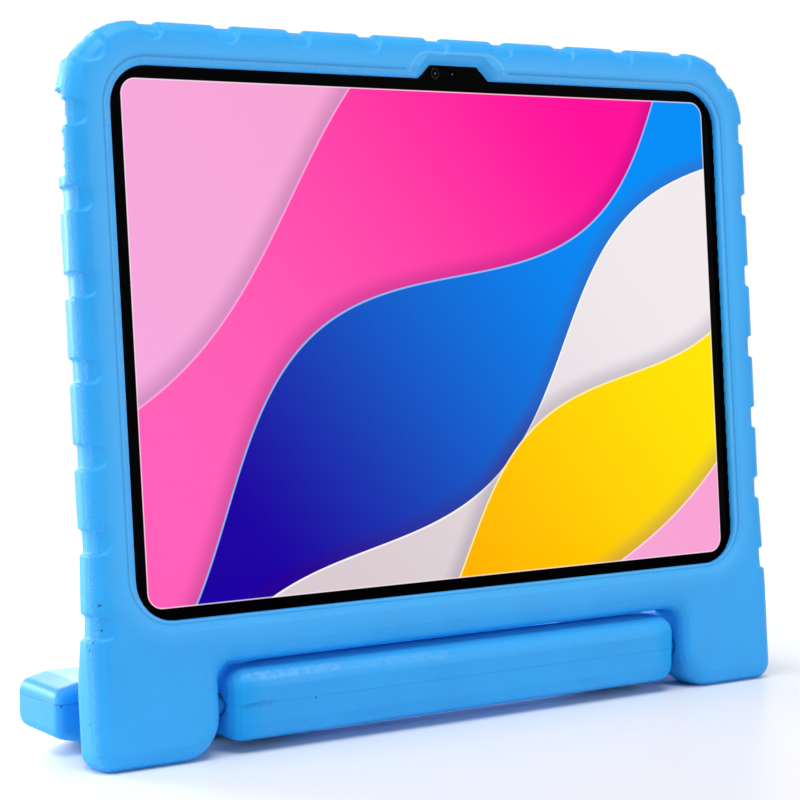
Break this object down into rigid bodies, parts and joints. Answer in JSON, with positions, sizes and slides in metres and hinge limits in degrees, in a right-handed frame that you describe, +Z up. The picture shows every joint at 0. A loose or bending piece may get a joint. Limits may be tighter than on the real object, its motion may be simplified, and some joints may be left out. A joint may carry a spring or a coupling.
{
  "type": "kids tablet case",
  "caption": "Foam tablet case for children with a lip round the screen, notched edges, two feet and a swinging handle that folds back as a stand, with the tablet in it.",
  "frame": {"origin": "middle of the whole footprint, on the table that it stands on", "axes": "+X to the right of somebody who looks at the screen, +Y from the screen to the back, +Z up"},
  "size_m": [0.267, 0.0584, 0.2206],
  "materials": {
    "blue_foam": "matt moulded foam with a fine grain",
    "pin_plastic": "smooth",
    "silver_aluminium": "fine blasted",
    "cover_glass": "polished",
    "display_panel": "lit",
    "camera_lens": "polished"
  },
  "bodies": {
    "case": {"case_body": "blue_foam", "tablet_housing": "silver_aluminium", "tablet_glass": "cover_glass", "tablet_display": "display_panel", "front_camera": "camera_lens", "light_sensor": "camera_lens", "rear_camera_ring": "silver_aluminium", "rear_camera_lens": "camera_lens", "charging_socket": "silver_aluminium"},
    "handle": {"handle_stand": "blue_foam", "hinge_pin_left": "pin_plastic", "hinge_pin_right": "pin_plastic"},
    "button": {"power_button": "silver_aluminium"}
  },
  "joints": [
    {"name": "handle_hinge", "type": "hinge", "parent": "case", "child": "handle", "pos_m": [0, -0.01981, 0.0147], "axis": [1, 0, 0], "range_deg": [-95.16, 9]},
    {"name": "power_button_press", "type": "slide", "parent": "case", "child": "button", "axis": [1, 0, 0], "range_m": [0, 0.0004], "stiffness_N_per_m": 2500, "springref_m": -0.0002}
  ]
}
